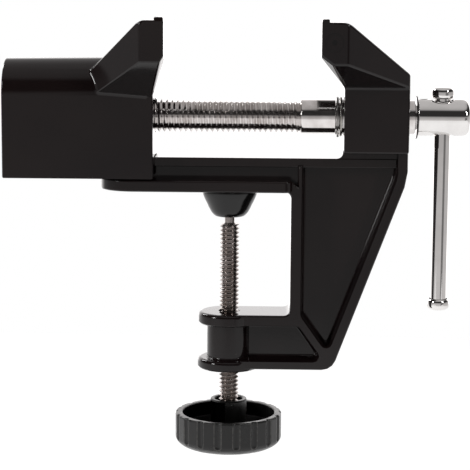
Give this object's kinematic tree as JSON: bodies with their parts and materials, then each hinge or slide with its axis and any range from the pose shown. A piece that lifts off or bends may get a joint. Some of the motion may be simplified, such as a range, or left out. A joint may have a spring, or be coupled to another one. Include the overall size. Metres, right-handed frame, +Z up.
{
  "type": "clamp-on bench vise",
  "caption": "Small bench vise that clamps to a table edge: a hollow jaw slides on a rail towards a fixed jaw, driven by a screw with a T-bar, above a C-shaped clamp with a knob.",
  "frame": {"origin": "on the clamp screw's axis, level with the underside of the seat that rests on the table", "axes": "+X along the rail and the lead screw towards the T-bar, +Y across the jaws, +Z up"},
  "size_m": [0.1384, 0.05, 0.1304],
  "materials": {
    "clamp_frame": "gloss black enamel over a die casting, clamping face bare",
    "moving_jaw": "gloss black enamel over a die casting, clamping face bare",
    "jaw_nut": "turned steel",
    "nut_pin": "ground steel",
    "vise_screw": "bright plated steel",
    "spindle_hub": "polished chrome plate",
    "hub_pin": "ground steel",
    "retaining_clip": "spring steel",
    "clip_washer": "zinc plated steel",
    "handle_bar": "polished chrome plate",
    "upper_cap": "polished chrome plate",
    "lower_cap": "polished chrome plate",
    "clamp_pad": "satin black",
    "pad_retainer": "spring steel",
    "clamp_screw": "dull zinc plate",
    "knob": "satin black",
    "knob_insert": "turned steel",
    "knob_screw": "zinc plated steel"
  },
  "bodies": {
    "frame": {"clamp_frame": "clamp_frame"},
    "jaw": {"moving_jaw": "moving_jaw", "jaw_nut": "jaw_nut", "nut_pin": "nut_pin"},
    "spindle": {"vise_screw": "vise_screw", "spindle_hub": "spindle_hub", "hub_pin": "hub_pin", "retaining_clip": "retaining_clip", "clip_washer": "clip_washer"},
    "handle": {"handle_bar": "handle_bar", "upper_cap": "upper_cap", "lower_cap": "lower_cap"},
    "pad": {"clamp_pad": "clamp_pad", "pad_retainer": "pad_retainer"},
    "clamp": {"clamp_screw": "clamp_screw", "knob": "knob", "knob_insert": "knob_insert", "knob_screw": "knob_screw"}
  },
  "joints": [
    {"name": "spindle_turn", "type": "hinge", "parent": "frame", "child": "spindle", "pos_m": [0.0527, 0, 0.022], "axis": [-1, 0, 0], "range_deg": [-560, 10080]},
    {"name": "jaw_slide", "type": "slide", "parent": "frame", "child": "jaw", "axis": [1, 0, 0], "range_m": [-0.0025, 0.0445]},
    {"name": "handle_slide", "type": "slide", "parent": "spindle", "child": "handle", "axis": [0, 0, 1], "range_m": [0, 0.049]},
    {"name": "pad_travel", "type": "slide", "parent": "frame", "child": "pad", "axis": [0, 0, 1], "range_m": [-0.028, 0]},
    {"name": "clamp_turn", "type": "hinge", "parent": "pad", "child": "clamp", "pos_m": [0, 0, 0], "axis": [0, 0, 1], "range_deg": [-7920, 0]}
  ],
  "couplings": [
    {"joint": "jaw_slide", "follows": "spindle_turn", "m_per_rad": 0.00025266},
    {"joint": "pad_travel", "follows": "clamp_turn", "m_per_rad": 0.00020213}
  ]
}
